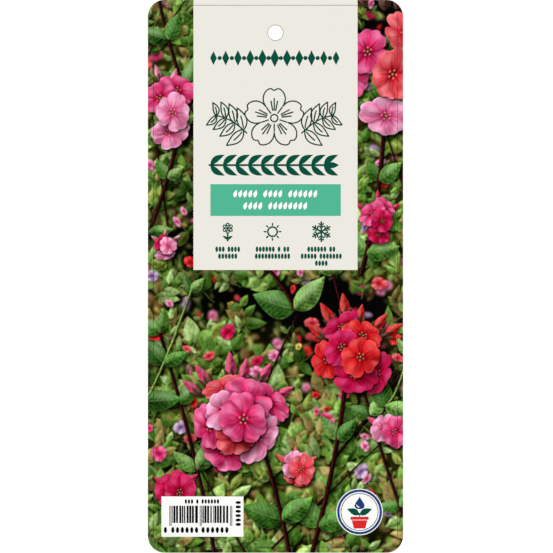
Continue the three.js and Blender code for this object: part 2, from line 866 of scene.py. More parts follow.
@dataclass(frozen=True)
class Leaf:
    """One leaf seen more or less flat, with its midrib, side veins and toothed edge."""

    x: float
    y: float
    heading: float
    length: float
    width: float
    tone: Colour
    bend: float = 0.0
    soft: float = 0.14
    teeth: float = 0.0
    veins: float = 0.0
    shine: float = 0.25
    keel: float = 0.2
    rim: float = 0.25
    shadow: float = 0.5
    fall: float = 0.6
    seed: float = 0.0
    tooth: float = 1.15
    vein_gap: float = 1.9

    def _local(self, x: Array, y: Array) -> tuple[Array, Array]:
        """Read places in the leaf's own measure, with its bend taken out.

        Args:
            x: Places across the card.
            y: Places up the card.

        Returns:
            The share of the way along the leaf, and the distance across it.
        """
        along, across = turned(x - self.x, y - self.y, math.radians(self.heading))
        t = along / self.length
        return t, across - self.bend * t * np.abs(t)

    def _half(self, t: Array) -> Array:
        """Half width along the leaf.

        Formula: width / 2 times the sine of pi times t to the power 0.72, to the power 0.9,
        less small teeth that lean to the tip.

        Args:
            t: Shares of the way along the leaf.

        Returns:
            The half width at each.
        """
        inside = np.clip(t, 1e-4, 1 - 1e-4)
        half = self.width / 2 * np.sin(np.pi * inside**0.72) ** 0.9
        if self.teeth:
            notch = (inside * self.length / self.tooth) % 1.0
            half = half - self.teeth * (1 - notch) * np.sin(np.pi * inside)
        return half

    def _share(self, t: Array, across: Array, soft: float) -> Array:
        """How much of each pixel the leaf covers, with an edge of the given softness."""
        ends = np.minimum(t, 1 - t) * self.length
        return covered(np.minimum(self._half(t) - np.abs(across), ends), soft)

    def paint(self, canvas: Canvas) -> None:
        """Shade what lies below the leaf, then paint the leaf.

        Args:
            canvas: What to paint on.
        """
        middle = toward(self.heading) * self.length / 2 + (self.x, self.y)
        reach = self.length / 2 + abs(self.bend) + self.width * 0.3 + self.fall * 2.2
        window = canvas.window(*middle, reach)
        if window is None:
            return
        x, y = canvas.places(window)
        place = self._local(x - 0.55 * self.fall, y + 0.8 * self.fall)
        canvas.darken(window, self.shadow * self._share(*place, 1.6 * self.fall))
        place = self._local(x, y)
        canvas.cover(window, self._colour(*place, canvas.grain), self._share(*place, self.soft))

    def _colour(self, t: Array, across: Array, grain: Grain) -> Array:
        """The leaf's colour, lit from the upper left.

        Formula: the tone times 1 plus the keel's two sides, plus slow and fine mottling, plus
        waves between the side veins; the midrib, the thin rim and the shine add pale green.

        Args:
            t: Share of the way along the leaf, for each pixel.
            across: Distance across it.
            grain: The noise.

        Returns:
            A colour for each pixel.
        """
        half = self._half(t) + 0.05
        q = np.clip(across / half, -1.2, 1.2)
        facing = math.sin(LIGHT - math.radians(self.heading))
        light = 1 + self.keel * facing * np.tanh(3.2 * q) + 0.3 * (t - 0.5)
        light -= 0.24 * bell(np.abs(q) - 0.08, 0.2) * (1 - t)
        place = t * self.length + self.seed, across + 2 * self.seed
        light += 0.10 * grain.at(*place, 2.6) + 0.07 * grain.at(*place, 0.7)
        if self.veins:
            phase = t * self.length / self.vein_gap - 0.42 * np.abs(across) + self.seed
            wave = np.cos(2 * np.pi * phase)
            light += self.veins * (0.09 * wave - 0.10 * bell((phase % 1.0) - 0.5, 0.08))
        tone = tint(self.tone) * np.clip(light, 0.25, 1.9)[..., None]
        rib = bell(across, 0.06 + 0.02 * self.width) * np.clip(1 - t, 0, 1) ** 0.3
        tone = blended(tone, PALE_GREEN, 0.30 * rib)
        glow = bell(q - 0.45 * np.sign(facing), 0.5) * bell(t - 0.55, 0.34)
        tone = blended(tone, LEAF_SHINE, np.clip(self.shine * glow, 0, 1))
        gap = np.minimum(half - np.abs(across), (1 - t) * self.length)
        return blended(tone, PALE_GREEN, self.rim * bell(gap - 0.12, 0.16))


@dataclass(frozen=True)
class PetalTones:
    """A petal's colours at its throat, on its body, at its rim, in its veins and at its shine."""

    throat: Colour
    body: Colour
    rim: Colour
    vein: Colour
    shine: Colour


class Bloom(Enum):
    """The flowers' colour schemes."""

    HOT_PINK = PetalTones(
        (0.60, 0.06, 0.22), (0.80, 0.22, 0.42), (0.86, 0.38, 0.56), (0.62, 0.08, 0.27), (0.93, 0.58, 0.73)
    )
    PALE_PINK = PetalTones(
        (0.74, 0.18, 0.38), (0.86, 0.44, 0.60), (0.91, 0.62, 0.76), (0.72, 0.27, 0.47), (0.95, 0.76, 0.86)
    )
    RED = PetalTones(
        (0.48, 0.05, 0.07), (0.76, 0.15, 0.17), (0.84, 0.26, 0.25), (0.54, 0.06, 0.09), (0.90, 0.40, 0.38)
    )
    CRIMSON = PetalTones(
        (0.42, 0.02, 0.12), (0.67, 0.10, 0.27), (0.75, 0.20, 0.38), (0.46, 0.03, 0.17), (0.84, 0.36, 0.54)
    )
    CORAL = PetalTones(
        (0.62, 0.08, 0.14), (0.82, 0.26, 0.30), (0.88, 0.40, 0.42), (0.66, 0.11, 0.18), (0.93, 0.58, 0.58)
    )
    LILAC = PetalTones(
        (0.45, 0.30, 0.50), (0.66, 0.52, 0.68), (0.78, 0.68, 0.80), (0.50, 0.36, 0.55), (0.88, 0.82, 0.90)
    )
    YELLOW = PetalTones(
        (0.55, 0.38, 0.10), (0.80, 0.66, 0.22), (0.88, 0.78, 0.40), (0.60, 0.45, 0.12), (0.94, 0.88, 0.60)
    )


@dataclass(frozen=True)
class Blossom:
    """An open five-petalled flower, turned and foreshortened as it faces away."""

    x: float
    y: float
    radius: float
    turn: float
    bloom: Bloom
    squash: float = 1.0
    lean: float = 0.0
    soft: float = 0.14
    detail: float = 1.0
    shadow: float = 0.5
    seed: float = 0.0
    petals: int = 5
    width: float = 0.98
    notch: float = 0.10

    def _flat(self, x: Array, y: Array) -> tuple[Array, Array]:
        """Read places in the plane of the flower: the view stretched back along its lean.

        Args:
            x: Places across the card.
            y: Places up the card.

        Returns:
            The same places, from the flower's middle and as if it faced the viewer.
        """
        way = math.radians(self.lean)
        along, across = turned(x - self.x, y - self.y, way)
        return turned(along / self.squash, across, -way)

    def _petal(self, x: Array, y: Array, number: int) -> tuple[Array, Array, Array]:
        """Place on one petal: along it, across it and its half width there.

        Formula: the half width is half the width times the sine of pi times t to the power
        1.7, to the power 0.55, with slow ripples; the notch draws the tip in at its middle.

        Args:
            x: Places across in the plane of the flower.
            y: Places up in it.
            number: Which petal.

        Returns:
            The share of the way along the petal, the distance across it and its half width.
        """
        wobble = math.sin(self.seed * 3.1 + number * 2.4)
        turn = math.radians(self.turn + 360 * number / self.petals) + 0.10 * wobble
        long = self.radius * (1 + 0.07 * math.sin(self.seed + number * 1.9))
        along, across = turned(x, y, turn)
        along = along / long
        across = across - 0.10 * wobble * np.square(along) * long
        t = along + self.notch * bell(across, 0.16 * long) * eased(along, 0.55, 0.9)
        ripple = 1 + 0.035 * np.sin(14 * t + 4 * self.seed + number)
        inside = np.clip(t, 1e-4, 1 - 1e-4)
        half = self.width * long / 2 * np.sin(np.pi * inside**1.7) ** 0.55 * ripple
        return t, across, np.maximum(half, 0.06 * long * (1 - inside))

    def paint(self, canvas: Canvas) -> None:
        """Paint the petals, each over the one before and its shade, then the flower's eye.

        Args:
            canvas: What to paint on.
        """
        window = canvas.window(self.x, self.y, self.radius * 1.15 + 1.6)
        if window is None:
            return
        x, y = canvas.places(window)
        fall = 0.055 * self.radius + 0.15
        flat, cast = self._flat(x, y), self._flat(x - 0.6 * fall, y + 0.9 * fall)
        hull = np.hypot(*self._flat(x - 2.0 * fall, y + 3.2 * fall)) / self.radius
        canvas.darken(window, self.shadow * (1 - eased(hull, 0.55, 1.2)))
        start = int(self.seed * 7) % self.petals
        for number in [(start + 2 * k) % self.petals for k in range(self.petals)]:
            shade = self._share(*self._petal(*cast, number), 2.2 * fall)
            canvas.darken(window, 0.34 * shade)
            petal = self._petal(*flat, number)
            colour = self._colour(*petal, number, canvas.grain)
            canvas.cover(window, colour, self._share(*petal, self.soft))
        self._eye(canvas, window, flat)

    def _share(self, t: Array, across: Array, half: Array, soft: float) -> Array:
        """How much of each pixel a petal covers."""
        gap = np.minimum(half - np.abs(across), (1 - t) * self.radius)
        return covered(gap, soft) * (t > 0)

    def _colour(self, t: Array, across: Array, half: Array, number: int, grain: Grain) -> Array:
        """A petal's colour.

        Formula: throat to body to rim along the petal, drawn-out streaks, thin veins that fan
        out, two or three folds across it, and light on the side that faces up and left.

        Args:
            t: Share of the way along the petal, for each pixel.
            across: Distance across it.
            half: The petal's half width there.
            number: Which petal.
            grain: The noise.

        Returns:
            A colour for each pixel.
        """
        tones = self.bloom.value
        q = np.clip(across / (half + 0.05), -1.15, 1.15)
        streak = grain.at(q * 1.3 + 3 * number + self.seed, t * 0.55 + self.seed, 0.12)
        cloud = grain.at(across + 5 * self.seed, t * self.radius + number * 9, 2.4)
        colour = blended(tint(tones.throat), tones.body, eased(t + 0.02 * streak, 0.08, 0.42))
        colour = blended(colour, tones.rim, 0.85 * eased(t + 0.05 * cloud, 0.5, 1.05))
        lines = np.abs((q * 3.2 * (0.5 + 0.5 * t) + 0.5) % 1.0 - 0.5)
        vein = bell(lines, 0.07) * eased(t, 0.05, 0.2) * (1 - eased(t, 0.5, 0.9))
        colour = blended(colour, tones.vein, 0.30 * self.detail * vein)
        turn = math.radians(self.turn + 360 * number / self.petals)
        facing = math.sin(LIGHT - turn)
        sway = math.sin(self.seed + 2 * number)
        fold = np.cos(np.pi * (1.5 * q + 0.6 * sway + 0.5 * t))
        light = 1 + 0.15 * facing * np.tanh(1.3 * q)
        light += 0.08 * fold * eased(t, 0.2, 0.8)
        light += 0.04 * streak * self.detail + 0.07 * cloud
        light += 0.16 * math.cos(LIGHT - turn) * (t - 0.4)
        light -= 0.22 * bell(across, 0.035 * self.radius) * (1 - eased(t, 0.3, 0.8))
        light -= 0.08 * eased(np.abs(q), 0.86, 1.1)
        colour = colour * np.clip(light, 0.3, 1.7)[..., None]
        crest = bell(q - 0.35 * np.sign(facing), 0.4) * bell(t - 0.66 + 0.1 * sway, 0.2)
        return blended(colour, tones.shine, 0.55 * np.clip(crest, 0, 1))

    def _eye(self, canvas: Canvas, window: Window, flat: tuple[Array, Array]) -> None:
        """Paint the dark throat, its pale ring and a few stamens.

        Args:
            canvas: What to paint on.
            window: The pixels that the flower covers.
            flat: Their places in the plane of the flower.
        """
        r = np.hypot(*flat) / self.radius
        canvas.darken(window, 0.55 * bell(r, 0.10))
        ray = np.cos(self.petals * np.arctan2(flat[1], flat[0]) + self.seed) * 0.5 + 0.5
        tips = bell(r - 0.16, 0.035) * ray**3
        canvas.cover(window, tint(STAMENS), 0.75 * tips * min(self.detail + 0.3, 1))
        canvas.cover(window, tint(EYE_GREEN), 0.8 * bell(r, 0.055))


@dataclass(frozen=True)
class Stem:
    """A stem along a smooth curve through a few points, round and lit from the left."""

    points: Sequence[Point]
    width: float
    tone: Colour
    soft: float = 0.12
    shadow: float = 0.45
    taper: float = 0.25
    count: int = 160
    stretch: int = 8

    def path(self) -> Array:
        """Points along the curve.

        Formula: one quadratic or cubic polynomial for each coordinate, through the given
        points at equal shares of the way.

        Returns:
            The points.
        """
        given = np.array(self.points)
        knots = np.linspace(0, 1, len(given))
        t = np.linspace(0, 1, self.count)
        degree = min(3, len(given) - 1)
        return np.stack([np.polyval(np.polyfit(knots, c, degree), t) for c in given.T], 1)

    def paint(self, canvas: Canvas) -> None:
        """Paint the stem over its soft shadow, one short stretch at a time.

        Args:
            canvas: What to paint on.
        """
        for window, away, along, half, _ in self._stretches(canvas, 2.4, self.width):
            shade = covered(half * 1.5 - np.abs(away), 1.6 * self.width)
            canvas.darken(window, self.shadow * shade * ((along > 0) & (along < 1)))
        for window, away, along, half, start in self._stretches(canvas, 1.2, 0.0):
            share = covered(half - np.abs(away), self.soft) * (along > -0.05) * (along < 1.05)
            q = away / half
            light = 1 + 0.35 * q + 0.9 * bell(q - 0.5, 0.22) - 0.35 * q * q
            bark = (start + along * self.stretch) * 0.35
            light += 0.12 * canvas.grain.at(away * 3, bark, 0.9)
            canvas.cover(window, tint(self.tone) * light[..., None], share)

    def _stretches(
        self, canvas: Canvas, spread: float, fall: float
    ) -> Iterator[tuple[Window, Array, Array, float, int]]:
        """The stem's short stretches that show on the canvas.

        Formula: a stretch is a parabola over its own chord.

        Args:
            canvas: What is painted on.
            spread: How far a window reaches past its stretch, in stem widths.
            fall: How far the stem's image is moved to the lower right.

        Yields:
            The window, each pixel's signed distance to the stretch and its share of the way
            along it, half the stem's width there, and the number of the stretch's first point.
        """
        path = self.path()
        for start in range(0, len(path) - 1, self.stretch):
            part = path[start : start + self.stretch + 1]
            middle = part.mean(axis=0)
            reach = np.linalg.norm(part - middle, axis=1).max() + self.width * spread
            window = canvas.window(*middle, reach)
            if window is None:
                continue
            x, y = canvas.places(window)
            x, y = x - 0.5 * fall - part[0, 0], y + 0.6 * fall - part[0, 1]
            chord, bulge = part[-1] - part[0], part[len(part) // 2] - part[0]
            length = float(np.hypot(*chord))
            way = chord / length
            along = (x * way[0] + y * way[1]) / length
            sag = float(bulge[1] * way[0] - bulge[0] * way[1])
            away = y * way[0] - x * way[1] - 4 * sag * along * (1 - along)
            yield window, away, along, self.width / 2 * (1 - self.taper * start / len(path)), start


@dataclass(frozen=True)
class Sprig:
    """A stem with leaves in opposite pairs, smaller towards its tip."""

    stem: Stem
    pairs: int
    leaf: float
    slim: float
    tones: Sequence[Colour]
    first: float = 0.15
    open: float = 58.0
    teeth: float = 0.0
    veins: float = 0.0
    soft: float = 0.2
    keel: float = 0.22
    shine: float = 0.15

    def paint(self, canvas: Canvas) -> None:
        """Paint the leaves behind the stem, the stem, and the leaves before it.

        Args:
            canvas: What to paint on.
        """
        path = self.stem.path()
        leaves = []
        for share in np.linspace(self.first, 0.98, self.pairs):
            index = int(share * (len(path) - 1))
            step = path[index + 2] - path[index]
            way = math.degrees(math.atan2(step[1], step[0]))
            for side in (1, -1):
                leaves.append(self._leaf(path[index], way, side, share, canvas.chance))
        for piece in (*leaves[::2], self.stem, *leaves[1::2]):
            piece.paint(canvas)

    def _leaf(
        self, at: Array, way: float, side: int, share: float, chance: np.random.Generator
    ) -> Leaf:
        """One leaf of a pair.

        Args:
            at: Where it springs from the stem.
            way: The stem's heading there.
            side: 1 for the left leaf and -1 for the right.
            share: How far up the stem it sits.
            chance: Where chance values come from.

        Returns:
            The leaf.
        """
        size = self.leaf * (1.15 - 0.55 * share)
        tone = tint(self.tones[chance.integers(len(self.tones))]) * chance.uniform(0.82, 1.18)
        long = size * chance.uniform(0.8, 1.15)
        spread = self.open * (1.1 - 0.35 * share) + chance.uniform(-14, 14)
        return Leaf(
            *at,
            way + side * spread,
            long,
            long * self.slim * chance.uniform(0.8, 1.1),
            tone,
            bend=-side * long * chance.uniform(0.0, 0.22),
            soft=self.soft,
            teeth=self.teeth,
            veins=self.veins,
            shine=self.shine * chance.uniform(0.3, 1.6),
            keel=self.keel,
            shadow=0.6,
            fall=0.1 * size,
            seed=chance.uniform(0, 50),
        )


@dataclass(frozen=True)
class Head:
    """A cluster of blossoms that face outwards all round, with buds above."""

    x: float
    y: float
    reach: float
    size: float
    count: int
    blooms: Sequence[Bloom]
    tall: float = 1.0
    buds: int = 5

    def paint(self, canvas: Canvas) -> None:
        """Paint buds, then blossoms from the outside to the middle.

        Formula: blossom k of n sits at reach times sqrt((k + 0.35) / n), 137.5 degrees further
        round than the one before, and is foreshortened more the further out it sits.

        Args:
            canvas: What to paint on.
        """
        chance = canvas.chance
        for number in range(self.buds):
            angle = 90 + 110 * (number / max(self.buds - 1, 1) - 0.5) + chance.uniform(-8, 8)
            self._bud(angle, canvas)
        for number in reversed(range(self.count)):
            share = math.sqrt((number + 0.35) / self.count)
            angle = GOLDEN_TURN * number + chance.uniform(-12, 12)
            cosine, sine = toward(angle)
            Blossom(
                self.x + self.reach * share * cosine,
                self.y + self.tall * self.reach * share * sine,
                self.size * chance.uniform(0.82, 1.12),
                chance.uniform(0, 72),
                self.blooms[number % len(self.blooms)],
                squash=1 - 0.5 * share * chance.uniform(0.5, 1.0),
                lean=angle + chance.uniform(-15, 15),
                seed=chance.uniform(0, 20),
            ).paint(canvas)

    def _bud(self, angle: float, canvas: Canvas) -> None:
        """A closed bud in its dark calyx, pointing away from the head.

        Args:
            angle: Direction it points to.
            canvas: What to paint on.
        """
        out = self.reach * canvas.chance.uniform(0.95, 1.25)
        long = self.size * canvas.chance.uniform(0.75, 1.0)
        at = toward(angle) * (out, out * self.tall) + (self.x, self.y)
        Leaf(*at, angle, long, long * 0.42, self.blooms[0].value.body, keel=0.3).paint(canvas)
        start = at - 0.35 * long * toward(angle)
        for side in (22, -22, 0):
            Leaf(*start, angle + side, long * 0.75, long * 0.24, DARK_CALYX).paint(canvas)


NEAR_GREENS = ((0.26, 0.44, 0.17), (0.33, 0.52, 0.21), (0.42, 0.59, 0.27), (0.23, 0.39, 0.16))
MIDDLE_GREENS = (
    *((0.26, 0.40, 0.14), (0.37, 0.51, 0.18), (0.47, 0.60, 0.28), (0.23, 0.36, 0.13)),
    *((0.43, 0.48, 0.19), (0.51, 0.62, 0.35), (0.50, 0.43, 0.23)),
)
FAR_TONES = (
    *((0.32, 0.42, 0.16), (0.44, 0.52, 0.23), (0.07, 0.09, 0.04)),
    *((0.55, 0.56, 0.29), (0.40, 0.27, 0.16), (0.54, 0.45, 0.24)),
)
BACK_BLOOMS = (*tuple(Bloom)[:5] * 2, Bloom.PALE_PINK, Bloom.LILAC, Bloom.YELLOW)
HOT, PALE, CORAL = Bloom.HOT_PINK, Bloom.PALE_PINK, Bloom.CORAL
RED, CRIMSON = Bloom.RED, Bloom.CRIMSON


class Garden:
    """A border in flower, painted from the far hedge to the blossoms in front.

    Bare stems are given by a place on them and their heading. A front stem has its points,
    width, pairs of leaves, length of leaf, bark, and the share of the way to its first pair. A
    head has its place, reach, size of blossom, count, colours, stretch upwards and buds. A
    shaded hollow or a sunny patch has its strength, its place, how much nearer its edge lies
    across and up, and its reach. Scattered leaves, sprigs and spots have how many places are
    tried, and the smallest gap or the two ends of the radius. The three blurs put the far, the
    middle and the finished picture out of focus.
    """

    bare_stems = (
        *((40, -52, 52), (-20, -96, 118), (2, -30, 66), (-46, 96, 55)),
        *((46, 52, 108), (-45, 34, 98), (20, -88, 44)),
    )
    front_stems = (
        (((53, -100), (40, -62), (22, 5)), 1.3, 3, 11.0, BARK, 0.15),
        (((-24, -113), (-33, -70), (-47, -20)), 1.6, 4, 15.0, BARK, 0.15),
        (((-54, 10), (-44, 36), (-38, 62)), 1.7, 3, 11.0, BARK, 0.15),
        (((34, 0), (41, 34), (44, 74)), 1.9, 3, 13.0, BARK, 0.15),
        (((-34, 68), (-42, 92), (-47, 113)), 1.5, 3, 13.0, BARK, 0.15),
        (((14, -113), (24, -70), (29, -32)), 1.9, 3, 16.0, BARK, 0.15),
        (((6, -113), (0, -86), (-9, -56)), 1.8, 2, 17.0, BARK, 0.3),
        (((-54, -52), (-46, -38), (-33, -4)), 1.2, 3, 14.0, GREEN_STEM, 0.15),
        (((8, -14), (2, -3), (-8, 8)), 1.6, 2, 17.0, BARK, 0.05),
        (((44, -52), (49, -44), (53, -30)), 1.0, 2, 12.0, GREEN_STEM, 0.0),
    )
    heads = (
        Head(31, -32, 13.5, 9.6, 7, (RED, CRIMSON, CRIMSON, RED), buds=6),
        Head(43.0, 82, 16.0, 11.5, 6, (CORAL, HOT, PALE), 1.8),
        Head(-43.5, 66, 8.0, 7.8, 4, (PALE, HOT), 1.4, 4),
        Head(-16, -57, 16.0, 10.4, 9, (HOT, PALE, CORAL, HOT), 0.95, 6),
        Head(41, 22, 6.0, 5.6, 4, (CRIMSON, HOT), 1.2, 3),
        Head(-44, 12, 3.4, 4.0, 3, (PALE, CRIMSON), 1.0, 3),
        Head(46, -62, 4.0, 7.0, 2, (HOT, PALE), 1.0, 2),
        Head(-40, -86, 4.0, 7.5, 2, (CRIMSON,), 1.0, 2),
        Head(9, -77, 4.0, 6.4, 3, (CORAL, PALE), 1.0, 3),
    )
    hollows = ((3.0, -12, -9, 0.7, 1.8, 12.0), (1.6, 47, 46, 1, 1, 11.0), (2.6, 24, -12, 0.6, 1.5, 12.0))
    patches = ((1.0, 26, -84, 1, 1, 30.0), (1.2, -43, 55, 1, 0.35, 15.0))
    far_leaves = (2600, 0.8)
    far_spots = (260, (1.1, 3.2))
    middle_sprigs = (430, 2.6)
    middle_spots = (170, (1.4, 3.6))
    blurs = (0.5, 0.2, 0.09)
    gain = 1.04
    sharpness = 0.45
    halo = 0.35
    drop = 0.02
    brightness = (0.3, 0.59, 0.11)

    def __init__(self) -> None:
        """Stretch a blank canvas."""
        self.canvas = Canvas(pixel=0.125, grain_seed=5, chance_seed=31)
        self.chance = self.canvas.chance

    def painted(self) -> Canvas:
        """Paint all layers, from back to front, and finish the picture.

        Returns:
            The canvas.
        """
        self._far()
        self._middle()
        self._front()
        self._finish()
        return self.canvas

    def _scatter(self, count: int, gap: float) -> Iterator[tuple[float, float, float]]:
        """Places all over the card, none closer to another than a gap where that can be.

        Args:
            count: How many places.
            gap: Smallest distance.

        Yields:
            Each place and how sunlit it is, topmost first.
        """
        half = CARD.width / 2 + 3, CARD.height / 2 + 3
        kept: list[Array] = []
        for place in self.chance.uniform(-1, 1, (count * 6, 2)) * half:
            if len(kept) >= count:
                break
            if not kept or np.min(np.linalg.norm(np.array(kept) - place, axis=1)) >= gap:
                kept.append(place)
        for x, y in sorted(kept, key=lambda place: -place[1]):
            yield float(x), float(y), float(self._sun(x, y))

    def _sun(self, x: Array, y: Array) -> Array:
        """How sunlit the border is, from 0 in deep shade to 1.

        Formula: a smooth step of slow noise, less the shaded hollows, plus the sunny patches,
        each of them a bell of the distance from its place.

        Args:
            x: Places across.
            y: Places up.

        Returns:
            The sunlight at each place.
        """
        grain = self.canvas.grain
        slow = grain.at(x + 31, y + 12, 24.0) + 0.7 * grain.at(x, y, 9.0)
        hollow, patch = (
            sum(
                strength * bell(np.hypot((x - at_x) * near_x, (y - at_y) * near_y), reach)
                for strength, at_x, at_y, near_x, near_y, reach in spots
            )
            for spots in (self.hollows, self.patches)
        )
        return eased(slow - hollow + patch, -2.6, 0.5)

    def _far(self) -> None:
        """Dark depths with soft leaves and soft spots of colour, out of focus."""
        chance, canvas = self.chance, self.canvas
        sun = self._sun(*canvas.places((slice(None), slice(None))))
        canvas.colour[:] = blended(tint((0.0, 0.01, 0.0)), (0.17, 0.17, 0.07), sun)
        for px, py, light in self._scatter(*self.far_leaves):
            if chance.random() > 5 * light - 0.5:
                continue
            length = chance.uniform(1.6, 5.5)
            tone = tint(FAR_TONES[chance.integers(len(FAR_TONES))]) * chance.uniform(0.75, 1.25)
            Leaf(
                px,
                py,
                chance.uniform(0, 360),
                length,
                length * chance.uniform(0.35, 0.7),
                tone * (0.45 + 0.75 * light),
                bend=chance.uniform(-0.6, 0.6),
                fall=0.35,
                seed=chance.uniform(0, 50),
            ).paint(canvas)
        self._spots(*self.far_spots)
        canvas.soften(self.blurs[0])

    def _spots(self, count: int, sizes: tuple[float, float]) -> None:
        """Small blossoms all over, most of them in a band below the panel.

        Args:
            count: How many places are tried.
            sizes: Smallest and greatest radius.
        """
        chance = self.chance
        for px, py, _ in self._scatter(count, 3.0):
            if chance.random() > 0.45 + 0.7 * bell(py + 18, 24):
                continue
            Blossom(
                px,
                py,
                chance.uniform(*sizes),
                chance.uniform(0, 72),
                BACK_BLOOMS[chance.integers(len(BACK_BLOOMS))],
                squash=chance.uniform(0.4, 1),
                lean=chance.uniform(0, 360),
                soft=0.4,
                detail=0.2,
                shadow=0.3,
                seed=chance.uniform(0, 20),
            ).paint(self.canvas)

    def _middle(self) -> None:
        """Sprigs of small leaves and small blossoms behind the front plants."""
        chance = self.chance
        for px, py, light in self._scatter(*self.middle_sprigs):
            if chance.random() > 1.5 * light - 0.15:
                continue
            way = toward(90 + chance.uniform(-80, 80)) * chance.uniform(6, 16)
            side = np.array([-way[1], way[0]]) * chance.uniform(-0.25, 0.25)
            start = np.array([px, py]) - way / 2
            dim = 0.54 + 0.58 * light
            picks = chance.choice(len(MIDDLE_GREENS), 3, replace=False)
            leaf = chance.uniform(4.0, 9.5) * (1.08 - 0.0024 * py)
            points = (start, start + way / 2 + side, start + way)
            Sprig(
                Stem(points, 0.5, tint(GREEN_STEM) * dim, 0.2, 0.3),
                int(chance.integers(2, 4)),
                leaf,
                chance.uniform(0.42, 0.68),
                [tint(MIDDLE_GREENS[k]) * dim for k in picks],
                first=chance.uniform(0.1, 0.5),
                open=chance.uniform(45, 85),
                soft=0.22,
                veins=0.4 * (leaf > 6.5),
            ).paint(self.canvas)
        self._spots(*self.middle_spots)
        self.canvas.soften(self.blurs[1])

    def _front(self) -> None:
        """The front plants: dark stems, large toothed and veined leaves, and flower heads."""
        for x, y, heading in self.bare_stems:
            points = [toward(heading) * reach + (x, y) for reach in (-30, 30)]
            Stem(points, self.chance.uniform(0.7, 1.2), BARK, 0.2, taper=0.5).paint(self.canvas)
        for points, width, pairs, leaf, bark, first in self.front_stems:
            Sprig(
                Stem(points, width, bark, taper=0.1),
                pairs,
                leaf,
                0.60,
                NEAR_GREENS,
                first=first,
                teeth=0.22,
                veins=0.7,
                soft=0.15,
                keel=0.28,
                shine=0.4,
            ).paint(self.canvas)
        for head in self.heads:
            head.paint(self.canvas)

    def _finish(self) -> None:
        """Sharpen the picture and set its contrast and its depth of colour.

        Formula: the gain times the picture, plus the sharpness times what a blur of the halo's
        size takes away, less the drop. With the brightness b, each channel's distance from b is
        then scaled by 0.8 + 1.1 exp(-b / 0.25), and b is lowered by a bell of 0.065 round black.
        """
        canvas = self.canvas
        lost = canvas.colour - blurred(canvas.colour, self.halo / canvas.pixel)
        sharp = self.gain * canvas.colour + self.sharpness * lost - self.drop
        bright = np.clip(sharp @ tint(self.brightness), 0, 1)[..., None]
        chroma = (sharp - bright) * (0.8 + 1.1 * np.exp(-bright / 0.25))
        deep = bright - 0.065 * bell(bright, 0.14)
        canvas.colour = np.clip(deep + chroma, 0, 1)
        canvas.soften(self.blurs[2])


# The sheet and what is printed on it

INK_DEPTH = 0.01
SINK = 0.004
ROUND_STEPS = 96


def printed(
    name: str, shapes: Sequence[Shape], ink: Ink, level: int = 1, step: float = 0.0
) -> bpy.types.Object:
    """Print flat shapes on the face as one piece of closed ink layers.

    Args:
        name: Name of the piece.
        shapes: What is printed.
        ink: Its ink.
        level: 1 on the bare face, 2 on other ink, 3 on ink that lies on ink.
        step: Extra height from each shape to the next, where they cross.

    Returns:
        The dressed piece.
    """
    layers = LayerMesh()
    low = CARD.face + (level - 1) * INK_DEPTH - SINK
    high = CARD.face + level * INK_DEPTH
    for number, shape in enumerate(shapes):
        layers.add(Shape(shape.outline, shape.holes, shape.lift + number * step), low, high)
    return layers.make(name, ink)


def row_places(middle: float, groups: Sequence[int], pitch: float, gap: float) -> Iterator[float]:
    """Places of a centred row's items, with a gap between its groups.

    Args:
        middle: Middle of the row.
        groups: How many items each group has.
        pitch: Distance from one item to the next.
        gap: What is added between groups.

    Yields:
        The places, in order.
    """
    at = middle - (pitch * (sum(groups) - 1) + gap * (len(groups) - 1)) / 2
    for count in groups:
        for _ in range(count):
            yield at
            at += pitch
        at += gap


def beads(
    middle: Point, groups: Sequence[int], size: Point, pitch: float, upright: bool = False
) -> list[Shape]:
    """A centred row of oval beads in groups, across the label or up it.

    Args:
        middle: Middle of the row.
        groups: How many beads each group has.
        size: Width and height of a bead.
        pitch: Distance from one bead to the next.
        upright: Whether the row runs up the label.

    Returns:
        One shape for each bead.
    """
    oval = circle((0.0, 0.0), 0.5, 16) * size
    places = row_places(middle[upright], groups, pitch, 0.75 * pitch)
    return [Shape(oval + ((middle[0], at) if upright else (at, middle[1]))) for at in places]


def ray(centre: Point, angle: float, near: float, far: float, steps: int) -> Array:
    """A straight pen path outwards from a centre.

    Args:
        centre: The centre.
        angle: The path's direction.
        near: How far from the centre it starts.
        far: How far from the centre it ends.
        steps: Number of points.

    Returns:
        The path's points.
    """
    return centre + np.linspace(near, far, steps)[:, None] * toward(angle)


@dataclass
class Sheet:
    """The white plastic sheet, with a slightly broken cut edge and the hanging hole."""

    back: float = 0.0
    rim: float = 0.05

    def build(self) -> None:
        """Make the sheet under its printed films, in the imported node's place."""
        layers = LayerMesh()
        shape = Shape(CARD.outline(), (CARD.hole,))
        layers.add(shape, self.back, CARD.face - CARD.film, self.rim)
        piece = layers.make("cut_sheet", Ink.CORE)
        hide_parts(SHEET_NODE)


@dataclass
class CreamPanel:
    """The cream panel that the hole goes through, with a thin dark ring printed round the hole as painted
    shade along its cut edge.
    """

    shade_ring_gap: float = 0.02
    shade_ring_width: float = 0.16

    def build(self) -> None:
        """Make the panel's film and the ring of painted shade round the hole."""
        outline = bar((PANEL.left, PANEL.bottom), (PANEL.right, CARD.height / 2))
        layers = LayerMesh()
        layers.add(Shape(outline, (CARD.hole,)), CARD.face - CARD.film, CARD.face)
        layers.make("cream_panel", Ink.CREAM)
        # Painted shade: a thin dark ring just outside the hole, standing in for the shade of the hole's
        # cut edge.
        outer = CARD.hole_radius + self.shade_ring_gap + self.shade_ring_width
        ring = disc(CARD.hole_centre, outer, CARD.hole_steps, self.shade_ring_width)
        printed("hole_edge_shade", [ring], Ink.HAIRLINE)


@dataclass
class HairlineFrame:
    """A hair-thin line that runs round the face a little inside the cut edge."""

    inset: float = 2.2
    width: float = 0.15

    def build(self) -> None:
        """Make the line as one closed ring."""
        outer, inner = (CARD.outline(self.inset + side * self.width / 2) for side in (-1, 1))
        printed("hairline_frame", [Shape(outer, (inner,), INK_DEPTH / 2)], Ink.HAIRLINE)


